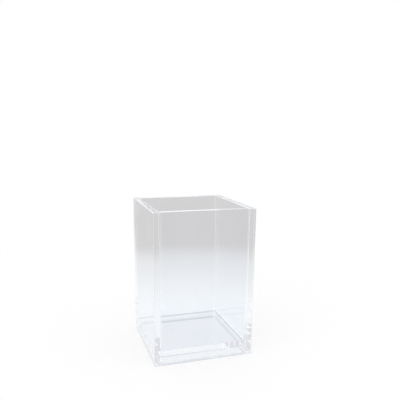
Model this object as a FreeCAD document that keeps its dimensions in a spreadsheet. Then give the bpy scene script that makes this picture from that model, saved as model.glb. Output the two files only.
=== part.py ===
import FreeCAD, Part
import os
from Sketcher import Constraint

# Clear acrylic pen cup: an open square box made of five sheets cemented edge to face.
# Millimetres, +Z up, front face towards -Y, origin at the middle of the footprint on the table.

DRIVING_SIZES = {
    "overall_width": (75.0, "outside, left wall to right wall"),
    "overall_depth": (75.0, "outside, front face to back face"),
    "overall_height": (112.0, "table to rim"),
    "wall_thickness": (5.0, "sheet that the four walls are cut from"),
    "base_thickness": (5.0, "sheet that closes the bottom between the walls"),
    "base_lift": (5.0, "table to the underside of the base"),
    "edge_radius": (0.5, "polished rounding of every edge that a hand can reach"),
    "seam_radius": (0.4, "rounding of the upright edges where two walls meet flush"),
}

# Two coordinates this close are the same.
SAME = 1e-6

doc = FreeCAD.newDocument("pen_cup")


def make_sheet(sizes):
    """The table of driving sizes: name, value and what it measures."""
    sheet = doc.addObject("Spreadsheet::Sheet", "Sizes")
    for row, (alias, (value, meaning)) in enumerate(sizes.items(), start=1):
        sheet.set(f"A{row}", alias)
        sheet.set(f"B{row}", str(value))
        sheet.set(f"C{row}", meaning)
        sheet.setAlias(f"B{row}", alias)
    doc.recompute()
    return sheet


sheet = make_sheet(DRIVING_SIZES)


def size(expression):
    """The expression with each driving size's name pointed at the sheet."""
    for alias in DRIVING_SIZES:
        expression = expression.replace(alias, f"Sizes.{alias}")
    return expression


def origin_plane(body, role):
    """One of the body's own three origin planes, by its role."""
    return next(f for f in body.Origin.OriginFeatures if f.Role == role)


def rectangle(body, name, role, across, along):
    """A fully constrained rectangle that stands on the first sketch axis, centred on the second."""
    sketch = body.newObject("Sketcher::SketchObject", name)
    sketch.AttachmentSupport = [(origin_plane(body, role), "")]
    sketch.MapMode = "FlatFace"
    # It is drawn two units wide and one tall, and gets its real size from the expressions.
    points = [FreeCAD.Vector(x, y, 0) for x, y in [(-1, 0), (1, 0), (1, 1), (-1, 1)]]
    for start, end in zip(points, points[1:] + points[:1]):
        sketch.addGeometry(Part.LineSegment(start, end), False)
    start_point, end_point, sketch_origin = 1, 2, -1
    for line in range(4):
        following = (line + 1) % 4
        sketch.addConstraint(Constraint("Coincident", line, end_point, following, start_point))
        sketch.addConstraint(Constraint("Vertical" if line % 2 else "Horizontal", line))
    # The lower line's ends are mirror images in the sketch's origin, so it lies on the first axis.
    sketch.addConstraint(Constraint("Symmetric", 0, start_point, 0, end_point, sketch_origin, 1))
    width = Constraint("DistanceX", 0, start_point, 0, end_point, 2)
    height = Constraint("DistanceY", 1, start_point, 1, end_point, 1)
    for dimension, expression in ((width, across), (height, along)):
        number = sketch.addConstraint(dimension)
        sketch.setExpression(f"Constraints[{number}]", size(expression))
    return sketch


def cut_sheet(name, role, across, along, thickness):
    """A rectangle of sheet stock, padded by its thickness in the direction of +X, +Y or +Z."""
    body = doc.addObject("PartDesign::Body", name)
    body.Label = name
    outline = rectangle(body, f"{name}_outline", role, across, along)
    pad = body.newObject("PartDesign::Pad", f"{name}_stock")
    pad.Profile = outline
    pad.setExpression("Length", size(thickness))
    # The normal of the XZ plane points to -Y, so its pad is turned round.
    pad.Reversed = role == "XZ_Plane"
    body.Tip = pad
    doc.recompute()
    return body, pad


def round_edges(body, feature, radius, is_chosen):
    """Rounds the edges of a feature whose middle point passes the test."""
    box = feature.Shape.BoundBox
    names = [f"Edge{number}" for number, edge in enumerate(feature.Shape.Edges, start=1)
             if is_chosen(edge.CenterOfMass, box)]
    rounding = body.newObject("PartDesign::Fillet", f"{body.Name}_{radius}")
    rounding.Base = (feature, names)
    rounding.setExpression("Radius", size(radius))
    body.Tip = rounding
    doc.recompute()
    return rounding


def near(first, second):
    """True for two coordinates that are the same."""
    return abs(first - second) < SAME


def at_rim_or_foot(point, box):
    """True for a point at the top or the bottom of a box."""
    return near(point.z, box.ZMax) or near(point.z, box.ZMin)


def place(body, **expressions):
    """Binds the body's place to the driving sizes."""
    for axis, expression in expressions.items():
        body.setExpression(f"Placement.Base.{axis}", size(expression))


def side_wall(name, x, outer_is_low):
    """A side wall of the full depth and height; the front and back walls fit between the two."""
    body, stock = cut_sheet(name, "YZ_Plane", "overall_depth", "overall_height", "wall_thickness")

    def is_seam(middle, box):
        inner = box.XMax if outer_is_low else box.XMin
        upright = near(middle.z, box.Center.z)
        return near(middle.x, inner) and upright

    def is_exposed(middle, box):
        outer = box.XMin if outer_is_low else box.XMax
        return near(middle.x, outer) or at_rim_or_foot(middle, box)

    seamed = round_edges(body, stock, "seam_radius", is_seam)
    round_edges(body, seamed, "edge_radius", is_exposed)
    place(body, x=x)
    return body


def cross_wall(name, y, outer_is_low):
    """The front or back wall, between the side walls and flush with their ends."""
    body, stock = cut_sheet(name, "XZ_Plane", "overall_width - 2 * wall_thickness",
                            "overall_height", "wall_thickness")

    def outer_of(box):
        return box.YMin if outer_is_low else box.YMax

    def is_seam(middle, box):
        upright = near(middle.z, box.Center.z)
        return near(middle.y, outer_of(box)) and upright

    def is_exposed(middle, box):
        along = near(middle.x, box.Center.x)
        return along and at_rim_or_foot(middle, box)

    seamed = round_edges(body, stock, "seam_radius", is_seam)
    round_edges(body, seamed, "edge_radius", is_exposed)
    place(body, y=y)
    return body


def base_plate():
    """The base, cemented between all four walls and lifted clear of the table."""
    body, _ = cut_sheet("base_plate", "XY_Plane", "overall_width - 2 * wall_thickness",
                        "overall_depth - 2 * wall_thickness", "base_thickness")
    place(body, y="-(overall_depth - 2 * wall_thickness) / 2", z="base_lift")
    return body


parts = [
    side_wall("left_wall", "-overall_width / 2", True),
    side_wall("right_wall", "overall_width / 2 - wall_thickness", False),
    cross_wall("front_wall", "-overall_depth / 2", True),
    cross_wall("back_wall", "overall_depth / 2 - wall_thickness", False),
    base_plate(),
]
doc.recompute()


def check(objects, bodies):
    """Stops on any failed object and on any piece whose shape is missing or not valid."""
    for item in objects:
        if "Invalid" in item.State or "Error" in item.State:
            raise RuntimeError(f"{item.Name} failed: {item.State}")
    for body in bodies:
        if body.Shape.isNull() or not body.Shape.isValid() or len(body.Shape.Solids) != 1:
            raise RuntimeError(f"{body.Label} has no single valid solid")


def write(bodies, folder):
    """Writes each piece to its own file and prints its box."""
    os.makedirs(folder, exist_ok=True)
    for body in bodies:
        body.Shape.exportStep(os.path.join(folder, f"{body.Label}.step"))
        box = body.Shape.BoundBox
        print(f"{body.Label}: x {box.XMin:.2f}..{box.XMax:.2f}  y {box.YMin:.2f}..{box.YMax:.2f}  "
              f"z {box.ZMin:.2f}..{box.ZMax:.2f}  volume {body.Shape.Volume:.1f}")


check(doc.Objects, parts)
write(parts, "parts")
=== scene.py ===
"""A clear acrylic pen cup: five sheets cemented edge to face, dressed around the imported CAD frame.

Metres, +Z up, front face towards -Y, origin at the middle of the footprint on the table.
"""

import math

import bmesh
import bpy
from mathutils import Matrix, Vector


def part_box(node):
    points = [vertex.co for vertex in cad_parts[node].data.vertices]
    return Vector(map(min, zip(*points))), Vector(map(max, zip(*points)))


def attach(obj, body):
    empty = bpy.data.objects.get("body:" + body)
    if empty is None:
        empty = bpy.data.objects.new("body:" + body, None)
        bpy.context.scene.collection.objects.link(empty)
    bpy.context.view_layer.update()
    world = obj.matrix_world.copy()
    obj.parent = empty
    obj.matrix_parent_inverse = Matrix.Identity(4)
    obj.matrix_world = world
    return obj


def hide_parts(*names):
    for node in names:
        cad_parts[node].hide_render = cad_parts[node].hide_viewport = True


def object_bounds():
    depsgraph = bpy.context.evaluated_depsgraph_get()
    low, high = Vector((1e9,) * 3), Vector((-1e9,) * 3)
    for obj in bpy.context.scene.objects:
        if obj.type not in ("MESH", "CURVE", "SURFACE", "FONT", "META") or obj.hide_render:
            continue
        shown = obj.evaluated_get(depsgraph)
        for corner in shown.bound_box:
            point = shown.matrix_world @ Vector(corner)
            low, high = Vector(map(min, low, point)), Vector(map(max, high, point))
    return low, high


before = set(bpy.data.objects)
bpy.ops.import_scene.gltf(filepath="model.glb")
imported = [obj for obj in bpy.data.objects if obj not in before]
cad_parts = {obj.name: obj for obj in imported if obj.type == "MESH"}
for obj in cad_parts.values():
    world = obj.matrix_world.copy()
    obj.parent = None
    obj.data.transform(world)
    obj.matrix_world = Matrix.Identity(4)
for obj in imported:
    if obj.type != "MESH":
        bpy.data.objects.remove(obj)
cad_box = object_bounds()

bl_info = {
    "name": "Acrylic Pen Cup",
    "version": (1, 0, 0),
    "blender": (4, 5, 0),
    "location": "3D View > Sidebar > Pen Cup",
    "description": "Builds a pen cup of cemented clear acrylic sheets, and a small studio for it",
    "category": "Add Mesh",
}

BODY = "root"

LEFT_LOW, LEFT_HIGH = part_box("left_wall")
BASE_LOW, BASE_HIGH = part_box("base_plate")

# Slots of every piece's mesh
SHEET_FACE, CUT_EDGE, ARRIS, CEMENTED = range(4)
SAME = 1e-6  # metres: two coordinates this close are the same
# A face belongs to a rounding if no part of its normal reaches FLAT.
FLAT = 0.9999
# It faces along an axis if that part of its normal is over ALONG.
ALONG = 0.99
ROUNDING_SEGMENTS = 4
# How the cement's bead falls away from the walls: shares of its size, in and down
BEAD_STEPS = ((0.10, 0.45), (0.25, 0.33), (0.65, 0.22))

# Acrylic. Light that goes round inside a sheet past the last bounce is replaced by a painted glow of
# the acrylic at the trapped level.
REFRACTION = 1.49
LIGHT_BOUNCES = 16
CLEAR_CROSSINGS = 64
TRAPPED_LIGHT_GLOW = (0.60, 0.61, 0.63)
# Patterns: cells to the metre, and the noise values between which a mark fades in
NOISE_MIDDLE = 0.5
SMUDGES_FADE = (0.50, 0.72)
SCRATCH_TURNS = ((0.3, 0.4, 0.9), (1.1, 0.2, 2.3))  # radians
SCRATCH_STRETCH = (0.06, 1.0, 1.0)
SCRATCHES_FADE = (0.012, 0.0)  # away from the noise's middle value
SCRATCH_DEPTH = 0.3  # share of the relief's height
SCRATCHED_PATCHES = 30.0
SCRATCHED_PATCHES_FADE = (0.55, 0.62)
STREAKS = 25.0
STREAK_STRETCH = (1.0, 1.0, 0.25)
STREAKS_FADE = (0.35, 0.75)

# How the table's colour changes with the distance from the cup, a painted falloff of light from pale
# to grey: metres, near share, far share
TABLE_RINGS = ((0.00, 1.00, 0.0), (0.08, 1.00, 0.0), (0.12, 0.91, 0.0), (0.20, 0.60, 0.0),
               (0.24, 0.52, 0.0), (0.265, 0.42, 0.0), (0.285, 0.28, 0.0), (0.31, 0.10, 0.0),
               (0.335, 0.00, 0.0), (0.60, 0.00, 0.1), (0.80, 0.00, 1.0))
# Where painted light makes it pale to the sides: the share of the distance that lies along X, from
# and to
SIDE_LIGHT = (0.60, 0.95)
SHADOW_FADE = (0.12, 0.5)  # metres from the cup's middle, between which its shadow fades out
TABLE_RADIUS = 4.0
TABLE_SEGMENTS = 96
TABLE_DROP = 0.00005  # below the foot, so that the two faces don't flicker
# What the acrylic sees above the table: height of the direction, from 0 level to 1 overhead
SKY = ((0.0, (0.66, 0.65, 0.66)), (0.25, (0.68, 0.68, 0.70)), (0.45, (0.75, 0.755, 0.79)),
       (0.6, (0.90, 0.905, 0.94)), (1.0, (0.85, 0.85, 0.88)))
WHITE = (1.0, 1.0, 1.0)
PLAIN_LIGHT = (0.80, 0.80, 0.81)  # what the sky sheds on the table
# Soft boxes: place and side
KEY_PLACE, KEY_SIDE = (-0.9, -0.7, 1.1), 1.8
FILL_PLACE, FILL_SIDE = (1.0, -0.6, 0.8), 1.5
LIT_POINT = (0.0, 0.0, 0.05)

# The photograph's camera, as fitted to the corners of the cup
IMAGE_SIDE = 400  # pixels
FOCAL_LENGTH = 470.25  # pixels
YAW, PITCH, ROLL = 18.175, 13.07, 0.71  # degrees
CUP_PLACE = (-0.097, 4.7342, -2.2048)  # right of the camera, ahead and above, in cup widths
SHIFT = 0.1  # share of the image's side
SENSOR_SIDE = 36.0  # millimetres
NEAREST_SEEN = 0.001


class CupSizes(bpy.types.PropertyGroup):
    """Sizes of the cup; those of the sheets are read from the frame."""

    width: bpy.props.FloatProperty(
        name="Width", description="Outside, left to right",
        default=cad_box[1].x - cad_box[0].x, min=0.03, unit="LENGTH")
    depth: bpy.props.FloatProperty(
        name="Depth", description="Outside, front to back",
        default=cad_box[1].y - cad_box[0].y, min=0.03, unit="LENGTH")
    height: bpy.props.FloatProperty(
        name="Height", description="Table to rim",
        default=cad_box[1].z - cad_box[0].z, min=0.03, unit="LENGTH")
    wall: bpy.props.FloatProperty(
        name="Wall", description="Sheet that the four walls are cut from",
        default=LEFT_HIGH.x - LEFT_LOW.x, min=0.001, unit="LENGTH")
    base: bpy.props.FloatProperty(
        name="Base", description="Sheet that closes the bottom",
        default=BASE_HIGH.z - BASE_LOW.z, min=0.001, unit="LENGTH")
    base_lift: bpy.props.FloatProperty(
        name="Base lift", description="Table to the underside of the base",
        default=BASE_LOW.z, min=0.0, unit="LENGTH")
    edge_radius: bpy.props.FloatProperty(
        name="Edge radius", description="Polished rounding of the edges that a hand can reach",
        default=0.0005, min=0.0001, max=0.002, unit="LENGTH")
    seam_radius: bpy.props.FloatProperty(
        name="Seam radius", description="Rounding of the uprights where two walls meet flush",
        default=0.0004, min=0.0001, max=0.001, unit="LENGTH")
    cement_line: bpy.props.FloatProperty(
        name="Cement line", description="Thickness of the cement between two sheets",
        default=0.00003, min=0.00001, max=0.0005, unit="LENGTH")
    cement_bead: bpy.props.FloatProperty(
        name="Cement bead", description="Hollow bead of cement round the floor of the cup",
        default=0.0004, min=0.0001, max=0.003, unit="LENGTH")


class CupFinish(bpy.types.PropertyGroup):
    """Colours and surface of the acrylic."""

    sheet_tint: bpy.props.FloatVectorProperty(
        name="Sheet tint", description="Colour that light takes on through one sheet",
        default=(0.977, 0.985, 1.0), size=3, subtype="COLOR", min=0.0, max=1.0)
    edge_tint: bpy.props.FloatVectorProperty(
        name="Edge tint", description="Colour of the sawn and polished edges",
        default=(0.960, 0.975, 0.975), size=3, subtype="COLOR", min=0.0, max=1.0)
    # Painted shade: this grey tint of the arrises darkens the rim and edge lines.
    arris_shade_tint: bpy.props.FloatVectorProperty(
        name="Arris tint", description="Colour of the rounded arrises between faces and edges",
        default=(0.76, 0.77, 0.80), size=3, subtype="COLOR", min=0.0, max=1.0)
    streak_tint: bpy.props.FloatVectorProperty(
        name="Streak tint", description="Slightly deeper colour of the casting's slow streaks",
        default=(0.955, 0.968, 0.982), size=3, subtype="COLOR", min=0.0, max=1.0)
    sheet_waves: bpy.props.FloatProperty(
        name="Sheet waves", description="Height of the slow waves in a cast sheet",
        default=0.000008, min=0.0, max=0.0005, unit="LENGTH")
    edge_ripple: bpy.props.FloatProperty(
        name="Edge ripple", description="Height of the fine ripple that polishing leaves on an edge",
        default=0.0000012, min=0.0, max=0.0002, unit="LENGTH")
    smudge_haze: bpy.props.FloatProperty(
        name="Smudge haze", description="Roughness that handling adds in its patches",
        default=0.012, min=0.0, max=1.0, subtype="FACTOR")
    edge_haze: bpy.props.FloatProperty(
        name="Edge haze", description="Roughness of a polished edge",
        default=0.012, min=0.0, max=1.0, subtype="FACTOR")
    arris_haze: bpy.props.FloatProperty(
        name="Arris haze", description="Roughness of an arris that was scraped and polished",
        default=0.03, min=0.0, max=1.0, subtype="FACTOR")


class CupStudio(bpy.types.PropertyGroup):
    """Table and lamps."""

    table_near: bpy.props.FloatVectorProperty(
        name="Table, near", description="Colour of the table round the cup",
        default=(0.965, 0.985, 1.0), size=3, subtype="COLOR", min=0.0, max=1.0)
    # Painted falloff of light: the table is drawn grey further from the cup.
    table_mid: bpy.props.FloatVectorProperty(
        name="Table, further off", description="Colour of the table where the light falls off",
        default=(0.675, 0.66, 0.655), size=3, subtype="COLOR", min=0.0, max=1.0)
    table_far: bpy.props.FloatVectorProperty(
        name="Table, far", description="Colour of the table towards the backdrop",
        default=(0.68, 0.665, 0.665), size=3, subtype="COLOR", min=0.0, max=1.0)
    # Painted light: the table is drawn paler left and right of the cup.
    table_side: bpy.props.FloatVectorProperty(
        name="Table, to the sides", description="Colour of the table left and right of the cup",
        default=(0.87, 0.88, 0.89), size=3, subtype="COLOR", min=0.0, max=1.0)
    # Painted shade: the table is drawn darker under the walls' feet.
    painted_shade_under_walls: bpy.props.FloatProperty(
        name="Under the walls", description="Share of the table's brightness under the walls' feet",
        default=0.55, min=0.0, max=1.0, subtype="FACTOR")
    shadow: bpy.props.FloatProperty(
        name="Shadow", description="Share of the table's brightness that shadows can take away",
        default=0.2, min=0.0, max=1.0, subtype="FACTOR")
    shadow_in_acrylic: bpy.props.FloatProperty(
        name="Shadow in acrylic", description="The same share, for the table seen in the acrylic",
        default=0.11, min=0.0, max=1.0, subtype="FACTOR")
    key_power: bpy.props.FloatProperty(
        name="Key", description="Power of the soft box at the left", default=9.0, min=0.0,
        unit="POWER")
    fill_power: bpy.props.FloatProperty(
        name="Fill", description="Power of the soft box at the right", default=2.5, min=0.0,
        unit="POWER")


def add_node(tree, kind, inputs=None, **settings):
    """A node with its settings and its inputs set or linked."""
    node = tree.nodes.new(kind)
    for name, value in settings.items():
        setattr(node, name, value)
    for name, value in (inputs or {}).items():
        if isinstance(value, bpy.types.NodeSocket):
            tree.links.new(value, node.inputs[name])
        else:
            node.inputs[name].default_value = value
    return node


def empty_tree(owner):
    """The owner's node tree, with nothing in it."""
    owner.use_nodes = True
    owner.node_tree.nodes.clear()
    return owner.node_tree


def new_group(name, inputs, outputs):
    """An empty node group with a vector, these numbers in, and these masks out."""
    tree = bpy.data.node_groups.new(name, "ShaderNodeTree")
    sockets = tree.interface
    sockets.new_socket("Vector", in_out="INPUT", socket_type="NodeSocketVector")
    for socket, value in inputs.items():
        sockets.new_socket(socket, in_out="INPUT", socket_type="NodeSocketFloat")
        sockets.items_tree[socket].default_value = value
    for socket in outputs:
        sockets.new_socket(socket, in_out="OUTPUT", socket_type="NodeSocketFloat")
    return tree, tree.nodes.new("NodeGroupInput").outputs


def opaque(colour):
    """The colour with a full alpha, as a node's socket holds it."""
    return (*colour, 1.0)


def noise(tree, vector, scale, detail=2.0, roughness=0.5):
    """The value of a noise pattern with this many cells to the metre."""
    node = add_node(tree, "ShaderNodeTexNoise", {
        "Vector": vector, "Scale": scale, "Detail": detail, "Roughness": roughness})
    return node.outputs["Fac"]


def turned(tree, vector, **mapping):
    """The vector turned and stretched for a pattern."""
    node = add_node(tree, "ShaderNodeMapping", {"Vector": vector, **mapping})
    return node.outputs["Vector"]


def number(tree, operation, *values):
    """The result of an operation on these values."""
    return add_node(tree, "ShaderNodeMath", dict(enumerate(values)), operation=operation).outputs[0]


def band(tree, value, low, high):
    """The value brought from between low and high to between 0 and 1."""
    node = add_node(tree, "ShaderNodeMapRange", {
        "Value": value, "From Min": low, "From Max": high}, interpolation_type="SMOOTHSTEP")
    return node.outputs["Result"]


def mix(tree, factor, first, second, kind="RGBA", blend="MIX"):
    """The first value with the second one laid over it by a factor."""
    node = add_node(tree, "ShaderNodeMix", {"Factor": factor, "A": first, "B": second},
                    data_type=kind, blend_type=blend)
    return node.outputs["Result"]


def ramp(tree, value, stops):
    """The colour of a ramp with these stops of place and colour."""
    node = add_node(tree, "ShaderNodeValToRGB", {"Fac": value})
    elements = node.color_ramp.elements
    while len(elements) > 1:
        elements.remove(elements[-1])
    elements[0].position = stops[0][0]
    elements[0].color = opaque(stops[0][1])
    for position, colour in stops[1:]:
        elements.new(position).color = opaque(colour)
    return node.outputs["Color"]


def handling_marks(name):
    """Node group: smudges in patches, and sparse hairline scratches that run in two directions."""
    tree, given = new_group(name, {"Smudges per metre": 45.0, "Scratches per metre": 220.0},
                            ("Smudges", "Scratches"))
    place = given["Vector"]
    smudged = noise(tree, place, given["Smudges per metre"], detail=4.0, roughness=0.6)
    streaks = []
    for turn in SCRATCH_TURNS:
        laid = turned(tree, place, Rotation=turn, Scale=SCRATCH_STRETCH)
        grain = noise(tree, laid, given["Scratches per metre"], detail=0.0)
        offset = number(tree, "ABSOLUTE", number(tree, "SUBTRACT", grain, NOISE_MIDDLE))
        streaks.append(band(tree, offset, *SCRATCHES_FADE))
    lines = number(tree, "MAXIMUM", *streaks)
    where = band(tree, noise(tree, place, SCRATCHED_PATCHES, detail=1.0), *SCRATCHED_PATCHES_FADE)
    add_node(tree, "NodeGroupOutput", {
        "Smudges": band(tree, smudged, *SMUDGES_FADE),
        "Scratches": number(tree, "MULTIPLY", lines, where)})
    return tree


def cast_relief(name):
    """Node group: the slow waves of a cast sheet, a finer ripple, and slow streaks of colour."""
    tree, given = new_group(name, {
        "Waves per metre": 30.0, "Ripples per metre": 600.0, "Ripple share": 0.1},
        ("Height", "Streaks"))
    waves = noise(tree, given["Vector"], given["Waves per metre"], detail=1.0)
    ripple = noise(tree, given["Vector"], given["Ripples per metre"])
    drawn = turned(tree, given["Vector"], Scale=STREAK_STRETCH)
    add_node(tree, "NodeGroupOutput", {
        "Height": mix(tree, given["Ripple share"], waves, ripple, kind="FLOAT"),
        "Streaks": band(tree, noise(tree, drawn, STREAKS, detail=3.0), *STREAKS_FADE)})
    return tree


def group(name, make):
    """The node group of this name, made on first use."""
    return bpy.data.node_groups.get(name) or make(name)


def acrylic(name, tint, haze, relief, waves, ripples, ripple_share):
    """Clear acrylic, named for the faces that it goes on."""
    finish = bpy.context.scene.cup_finish
    material = bpy.data.materials.new(name)
    tree = empty_tree(material)
    place = add_node(tree, "ShaderNodeTexCoord").outputs["Object"]
    marks = add_node(tree, "ShaderNodeGroup", {"Vector": place},
                     node_tree=group("Handling Marks", handling_marks)).outputs
    cast = add_node(tree, "ShaderNodeGroup", {
        "Vector": place, "Waves per metre": waves, "Ripples per metre": ripples,
        "Ripple share": ripple_share}, node_tree=group("Cast Relief", cast_relief)).outputs
    height = number(tree, "MULTIPLY_ADD", marks["Scratches"], -SCRATCH_DEPTH, cast["Height"])
    bump = add_node(tree, "ShaderNodeBump", {
        "Height": height, "Distance": relief, "Strength": 1.0})
    # Painted glow: past the last bounce the acrylic gives out light at the trapped level.
    bounces = add_node(tree, "ShaderNodeLightPath").outputs["Ray Depth"]
    trapped = number(tree, "GREATER_THAN", bounces, LIGHT_BOUNCES - 0.5)
    shader = add_node(tree, "ShaderNodeBsdfPrincipled", {
        "Base Color": mix(tree, cast["Streaks"], opaque(tint), opaque(finish.streak_tint)),
        "Roughness": number(tree, "MULTIPLY_ADD", marks["Smudges"], finish.smudge_haze, haze),
        "IOR": REFRACTION, "Transmission Weight": 1.0, "Normal": bump.outputs["Normal"],
        "Emission Color": mix(tree, trapped, opaque((0.0, 0.0, 0.0)), opaque(TRAPPED_LIGHT_GLOW)),
        "Emission Strength": 1.0})
    # The painted glow of trapped light only replaces what the bounces cut off, so it isn't a lamp to
    # sample.
    material.cycles.emission_sampling = "NONE"
    add_node(tree, "ShaderNodeOutputMaterial", {"Surface": shader.outputs[0]})
    return material


def cement(name):
    """The cemented faces, which light crosses as if the two sheets were one."""
    material = bpy.data.materials.new(name)
    tree = empty_tree(material)
    shader = add_node(tree, "ShaderNodeBsdfTransparent")
    add_node(tree, "ShaderNodeOutputMaterial", {"Surface": shader.outputs[0]})
    return material


def materials():
    """The four finishes, in the order of the mesh slots, made on first use."""
    finish = bpy.context.scene.cup_finish
    sheet = {"tint": finish.sheet_tint, "haze": 0.0, "relief": finish.sheet_waves,
             "waves": 30.0, "ripples": 500.0, "ripple_share": 0.02}
    edge = {"tint": finish.edge_tint, "haze": finish.edge_haze, "relief": finish.edge_ripple,
            "waves": 250.0, "ripples": 1500.0, "ripple_share": 0.4}
    # The arris's grey tint is painted shade on the rims and edges.
    arris = {"tint": finish.arris_shade_tint, "haze": finish.arris_haze, "relief": finish.edge_ripple,
             "waves": 400.0, "ripples": 3000.0, "ripple_share": 0.5}
    finishes = (("Acrylic Sheet", acrylic, sheet), ("Acrylic Edge", acrylic, edge),
                ("Scraped Arris", acrylic, arris), ("Cement", cement, {}))
    return [bpy.data.materials.get(name) or make(name, **look) for name, make, look in finishes]


def block(low, high):
    """A bmesh block between two corners."""
    mesh = bmesh.new()
    low, high = Vector(low), Vector(high)
    place = Matrix.Translation((low + high) / 2) @ Matrix.Diagonal((*(high - low), 1.0))
    bmesh.ops.create_cube(mesh, size=1.0, matrix=place)
    mesh.normal_update()
    return mesh


def round_edges(mesh, radius, is_chosen):
    """Rounds the edges whose middle point passes the test."""
    edges = [e for e in mesh.edges if is_chosen((e.verts[0].co + e.verts[1].co) / 2)]
    bmesh.ops.bevel(mesh, geom=edges, offset=radius, offset_type="OFFSET",
                    segments=ROUNDING_SEGMENTS, profile=0.5, affect="EDGES", material=-1)


def score(mesh, point, normal):
    """Divides the faces along a plane, where a cemented area ends."""
    bmesh.ops.bisect_plane(mesh, geom=mesh.verts[:] + mesh.edges[:] + mesh.faces[:],
                           plane_co=point, plane_no=normal)


def finish_sheet(mesh, name, node, slot_of):
    """Turns the bmesh into a piece that stands for a node of the frame."""
    bmesh.ops.recalc_face_normals(mesh, faces=mesh.faces[:])
    mesh.normal_update()
    for face in mesh.faces:
        face.material_index = slot_of(face.calc_center_median(), face.normal)
    data = bpy.data.meshes.new(name)
    mesh.to_mesh(data)
    mesh.free()
    for material in materials():
        data.materials.append(material)
    piece = bpy.data.objects.new(name, data)
    bpy.context.scene.collection.objects.link(piece)
    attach(piece, BODY)
    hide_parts(node)
    return piece


def near(first, second):
    """True for two coordinates that are the same."""
    return abs(first - second) < SAME


def is_rounded(normal):
    """True for a face of a rounding, whose normal is in line with no axis."""
    return max(map(abs, normal)) < FLAT


def base_joint():
    """Lowest and highest point of the walls' inner faces that the base and its cement touch."""
    sizes = bpy.context.scene.cup_sizes
    return sizes.base_lift, sizes.base_lift + sizes.base + sizes.cement_bead


def side_sheet(name, node, sign):
    """A side wall of the full depth and height."""
    sizes = bpy.context.scene.cup_sizes
    outer, inner = sign * sizes.width / 2, sign * (sizes.width / 2 - sizes.wall)
    half_depth, height = sizes.depth / 2, sizes.height
    mesh = block((min(outer, inner), -half_depth, 0), (max(outer, inner), half_depth, height))

    def is_exposed(middle):
        return near(middle.x, outer) or near(middle.z, height) or near(middle.z, 0)

    def is_seam(middle):
        return near(middle.x, inner) and near(middle.z, height / 2)

    round_edges(mesh, sizes.seam_radius, is_seam)
    round_edges(mesh, sizes.edge_radius, is_exposed)
    seat = half_depth - sizes.wall
    joint_low, joint_high = base_joint()
    for point, normal in (((0, -seat, 0), (0, 1, 0)), ((0, seat, 0), (0, 1, 0)),
                          ((0, 0, joint_low), (0, 0, 1)), ((0, 0, joint_high), (0, 0, 1))):
        score(mesh, point, normal)

    def slot_of(centre, normal):
        if is_rounded(normal):
            # A seam is left as clear as the cut edge beside it.
            in_seam = near(normal.z, 0) and abs(centre.x - inner) < sizes.seam_radius
            return CUT_EDGE if in_seam else ARRIS
        if abs(normal.x) < ALONG:
            return CUT_EDGE
        in_joint = abs(centre.y) > seat or joint_low < centre.z < joint_high
        return CEMENTED if near(centre.x, inner) and in_joint else SHEET_FACE

    return finish_sheet(mesh, name, node, slot_of)


def cross_sheet(name, node, sign):
    """The front or back wall, between the side walls and flush with their ends."""
    sizes = bpy.context.scene.cup_sizes
    outer, inner = sign * sizes.depth / 2, sign * (sizes.depth / 2 - sizes.wall)
    half_width = sizes.width / 2 - sizes.wall - sizes.cement_line
    height = sizes.height
    mesh = block((-half_width, min(outer, inner), 0), (half_width, max(outer, inner), height))

    def is_exposed(middle):
        return near(middle.x, 0) and (near(middle.z, height) or near(middle.z, 0))

    def is_seam(middle):
        return near(middle.y, outer) and near(middle.z, height / 2)

    round_edges(mesh, sizes.seam_radius, is_seam)
    round_edges(mesh, sizes.edge_radius, is_exposed)
    joint_low, joint_high = base_joint()
    for level in (joint_low, joint_high):
        score(mesh, (0, 0, level), (0, 0, 1))

    def slot_of(centre, normal):
        if is_rounded(normal):
            return CUT_EDGE if near(normal.z, 0) else ARRIS
        if abs(normal.x) > ALONG:
            return CEMENTED
        if abs(normal.z) > ALONG:
            return CUT_EDGE
        in_joint = near(centre.y, inner) and joint_low < centre.z < joint_high
        return CEMENTED if in_joint else SHEET_FACE

    return finish_sheet(mesh, name, node, slot_of)


def base_sheet(name, node):
    """The base between the four walls, with the hollow bead that the cement leaves round it."""
    sizes = bpy.context.scene.cup_sizes
    inset = sizes.wall + sizes.cement_line
    half_width, half_depth = sizes.width / 2 - inset, sizes.depth / 2 - inset
    low, high = base_joint()
    mesh = block((-half_width, -half_depth, low), (half_width, half_depth, high))
    for inwards, down in BEAD_STEPS:
        top = [f for f in mesh.faces if f.normal.z > ALONG]
        bmesh.ops.inset_region(mesh, faces=top, thickness=inwards * sizes.cement_bead,
                               depth=-down * sizes.cement_bead,
                               use_even_offset=True, use_boundary=True)
        mesh.normal_update()

    def slot_of(centre, normal):
        if is_rounded(normal):
            return ARRIS
        return SHEET_FACE if abs(normal.z) > ALONG else CEMENTED

    return finish_sheet(mesh, name, node, slot_of)


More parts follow.
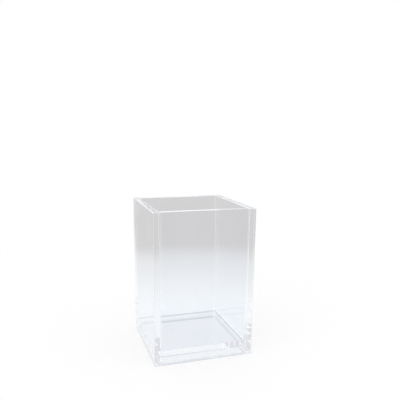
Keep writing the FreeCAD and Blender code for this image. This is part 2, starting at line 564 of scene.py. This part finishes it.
def table_colour(tree, place):
    """The table as the acrylic shows it, with painted light: pale round the cup and to the sides,
    grey further off, and painted shade under the walls' feet.
    """
    sizes, studio = bpy.context.scene.cup_sizes, bpy.context.scene.cup_studio
    near_tone, mid_tone, far_tone = (
        Vector(c) for c in (studio.table_near, studio.table_mid, studio.table_far))
    distance = add_node(tree, "ShaderNodeVectorMath", {0: place}, operation="LENGTH").outputs["Value"]
    colour = ramp(tree, distance, [
        (reach, mid_tone.lerp(near_tone, near_share).lerp(far_tone, far_share))
        for reach, near_share, far_share in TABLE_RINGS])
    axes = add_node(tree, "ShaderNodeSeparateXYZ", {0: place}).outputs
    across, along = (number(tree, "ABSOLUTE", axes[axis]) for axis in "XY")
    # Painted light: the table is paler to the sides.
    side_light_share = band(tree, number(tree, "DIVIDE", across, distance), *SIDE_LIGHT)
    colour = mix(tree, side_light_share, colour, opaque(studio.table_side), blend="LIGHTEN")
    # Painted contact shade: the table is darker in the band under the walls' feet.
    outside, inside = sizes.width / 2, sizes.width / 2 - sizes.wall
    foot_shade_tone = (studio.painted_shade_under_walls,) * 3
    under = ramp(tree, number(tree, "MAXIMUM", across, along), (
        (0.0, WHITE), (inside, WHITE), (inside + sizes.edge_radius, foot_shade_tone),
        (outside - sizes.edge_radius, foot_shade_tone), (outside, WHITE)))
    return mix(tree, 1.0, colour, under, blend="MULTIPLY"), distance


def table_material():
    """The plain table: white to the camera, with the cup's shadow, and with painted light and shade
    where the acrylic shows it.
    """
    studio = bpy.context.scene.cup_studio
    material = bpy.data.materials.new("Table")
    tree = empty_tree(material)
    colour, distance = table_colour(tree, add_node(tree, "ShaderNodeTexCoord").outputs["Object"])
    path = add_node(tree, "ShaderNodeLightPath").outputs
    to_camera = path["Is Camera Ray"]
    seen = mix(tree, to_camera, colour, opaque(WHITE))
    diffuse = add_node(tree, "ShaderNodeBsdfDiffuse", {"Color": seen})
    glow = add_node(tree, "ShaderNodeEmission", {"Color": seen})
    mirrored = number(tree, "MAXIMUM", path["Is Glossy Ray"], path["Is Transmission Ray"])
    shown = number(tree, "MAXIMUM", to_camera, mirrored)
    # The glow takes no shadow, so its share sets how deep the cup's shadow is.
    least = mix(tree, to_camera, 1.0 - studio.shadow_in_acrylic, 1.0 - studio.shadow, kind="FLOAT")
    share = add_node(tree, "ShaderNodeMapRange", {
        "Value": distance, "From Min": SHADOW_FADE[0], "From Max": SHADOW_FADE[1],
        "To Min": least, "To Max": 1.0}, interpolation_type="SMOOTHSTEP").outputs["Result"]
    shader = add_node(tree, "ShaderNodeMixShader", {
        "Fac": number(tree, "MULTIPLY", shown, share), 1: diffuse.outputs[0], 2: glow.outputs[0]})
    add_node(tree, "ShaderNodeOutputMaterial", {"Surface": shader.outputs[0]})
    return material


def table():
    """A wide disc just under the cup's foot."""
    mesh = bmesh.new()
    bmesh.ops.create_circle(mesh, cap_ends=True, segments=TABLE_SEGMENTS, radius=TABLE_RADIUS,
                            matrix=Matrix.Translation((0, 0, -TABLE_DROP)))
    data = bpy.data.meshes.new("table")
    mesh.to_mesh(data)
    mesh.free()
    data.materials.append(table_material())
    floor = bpy.data.objects.new("table", data)
    bpy.context.scene.collection.objects.link(floor)


def surroundings():
    """White to the camera, a soft studio to the acrylic, and a plain level of light to the rest."""
    world = bpy.data.worlds.new("Studio")
    tree = empty_tree(world)
    place = add_node(tree, "ShaderNodeTexCoord").outputs["Generated"]
    axes = add_node(tree, "ShaderNodeSeparateXYZ", {0: place}).outputs
    up = add_node(tree, "ShaderNodeMapRange", {
        "Value": axes["Z"], "From Min": 0.0, "From Max": 1.0}).outputs["Result"]
    path = add_node(tree, "ShaderNodeLightPath").outputs
    seen = mix(tree, path["Is Camera Ray"], ramp(tree, up, SKY), opaque(WHITE))
    light = mix(tree, path["Is Diffuse Ray"], seen, opaque(PLAIN_LIGHT))
    background = add_node(tree, "ShaderNodeBackground", {"Color": light})
    add_node(tree, "ShaderNodeOutputWorld", {"Surface": background.outputs[0]})
    bpy.context.scene.world = world


def lamp(name, place, side, power):
    """A square soft box that faces the cup."""
    data = bpy.data.lights.new(name, "AREA")
    data.size = side
    data.energy = power
    item = bpy.data.objects.new(name, data)
    item.location = place
    aim = Vector(LIT_POINT) - item.location
    item.rotation_euler = aim.to_track_quat("-Z", "Y").to_euler()
    bpy.context.scene.collection.objects.link(item)


def camera():
    """The photograph's view: the front face, and a little of the left one from above."""
    yaw, pitch, roll = (math.radians(angle) for angle in (YAW, PITCH, ROLL))
    turn = Matrix.Rotation(yaw, 3, "Z").transposed()
    level = turn @ Vector((1, 0, 0))
    tipped = turn @ Vector((0, math.sin(pitch), math.cos(pitch)))
    right = level * math.cos(roll) + tipped * math.sin(roll)
    up = tipped * math.cos(roll) - level * math.sin(roll)
    back = right.cross(up)
    matrix = Matrix((right, up, back)).transposed().to_4x4()
    matrix.translation = -(turn @ Vector(CUP_PLACE)) * bpy.context.scene.cup_sizes.width
    data = bpy.data.cameras.new("Camera")
    data.sensor_width = SENSOR_SIDE
    data.lens = FOCAL_LENGTH / IMAGE_SIDE * SENSOR_SIDE
    data.shift_y = SHIFT
    data.clip_start = NEAREST_SEEN
    item = bpy.data.objects.new("Camera", data)
    item.matrix_world = matrix
    bpy.context.scene.collection.objects.link(item)
    bpy.context.scene.camera = item


class PENCUP_OT_side_walls(bpy.types.Operator):
    """Make the left and right walls, which run the full depth of the cup"""

    bl_idname = "pencup.side_walls"
    bl_label = "Side Walls"
    bl_options = {"REGISTER", "UNDO"}

    def execute(self, context):
        side_sheet("left_sheet", "left_wall", -1)
        side_sheet("right_sheet", "right_wall", 1)
        return {"FINISHED"}


class PENCUP_OT_cross_walls(bpy.types.Operator):
    """Make the front and back walls, which fit between the side walls"""

    bl_idname = "pencup.cross_walls"
    bl_label = "Front and Back Walls"
    bl_options = {"REGISTER", "UNDO"}

    def execute(self, context):
        cross_sheet("front_sheet", "front_wall", -1)
        cross_sheet("back_sheet", "back_wall", 1)
        return {"FINISHED"}


class PENCUP_OT_base(bpy.types.Operator):
    """Make the base, which is set between the four walls above the table"""

    bl_idname = "pencup.base"
    bl_label = "Base"
    bl_options = {"REGISTER", "UNDO"}

    def execute(self, context):
        base_sheet("base_sheet", "base_plate")
        return {"FINISHED"}


class PENCUP_OT_stage(bpy.types.Operator):
    """Set the table, the soft light and the camera"""

    bl_idname = "pencup.stage"
    bl_label = "Stage"
    bl_options = {"REGISTER", "UNDO"}

    def execute(self, context):
        scene, studio = context.scene, context.scene.cup_studio
        scene.view_settings.view_transform = "Standard"
        scene.cycles.max_bounces = LIGHT_BOUNCES
        scene.cycles.transmission_bounces = LIGHT_BOUNCES
        scene.cycles.glossy_bounces = LIGHT_BOUNCES
        scene.cycles.transparent_max_bounces = CLEAR_CROSSINGS
        scene.cycles.use_denoising = True
        table()
        surroundings()
        lamp("Key", KEY_PLACE, KEY_SIDE, studio.key_power)
        lamp("Fill", FILL_PLACE, FILL_SIDE, studio.fill_power)
        camera()
        return {"FINISHED"}


class PENCUP_PT_panel(bpy.types.Panel):
    """Lists the cup's settings and what the add-on makes"""

    bl_idname = "PENCUP_PT_panel"
    bl_label = "Pen Cup"
    bl_space_type = "VIEW_3D"
    bl_region_type = "UI"
    bl_category = "Pen Cup"

    def draw(self, context):
        for name in SETTINGS:
            settings = getattr(context.scene, name)
            column = self.layout.column(align=True)
            for setting in settings.__annotations__:
                column.prop(settings, setting)
        for operator in OPERATORS:
            self.layout.operator(operator.bl_idname)


OPERATORS = (PENCUP_OT_side_walls, PENCUP_OT_cross_walls, PENCUP_OT_base, PENCUP_OT_stage)
SETTINGS = {"cup_sizes": CupSizes, "cup_finish": CupFinish, "cup_studio": CupStudio}


def register():
    """Adds the settings, the operators and the panel to Blender."""
    for cls in (*SETTINGS.values(), *OPERATORS, PENCUP_PT_panel):
        bpy.utils.register_class(cls)
    for name, cls in SETTINGS.items():
        setattr(bpy.types.Scene, name, bpy.props.PointerProperty(type=cls))


def unregister():
    """Takes them out again."""
    for name in SETTINGS:
        delattr(bpy.types.Scene, name)
    for cls in (PENCUP_PT_panel, *reversed(OPERATORS), *reversed(SETTINGS.values())):
        bpy.utils.unregister_class(cls)


def main():
    """Builds the cup and its stage."""
    register()
    bpy.ops.pencup.side_walls()
    bpy.ops.pencup.cross_walls()
    bpy.ops.pencup.base()
    bpy.ops.pencup.stage()


if __name__ == "__main__":
    main()
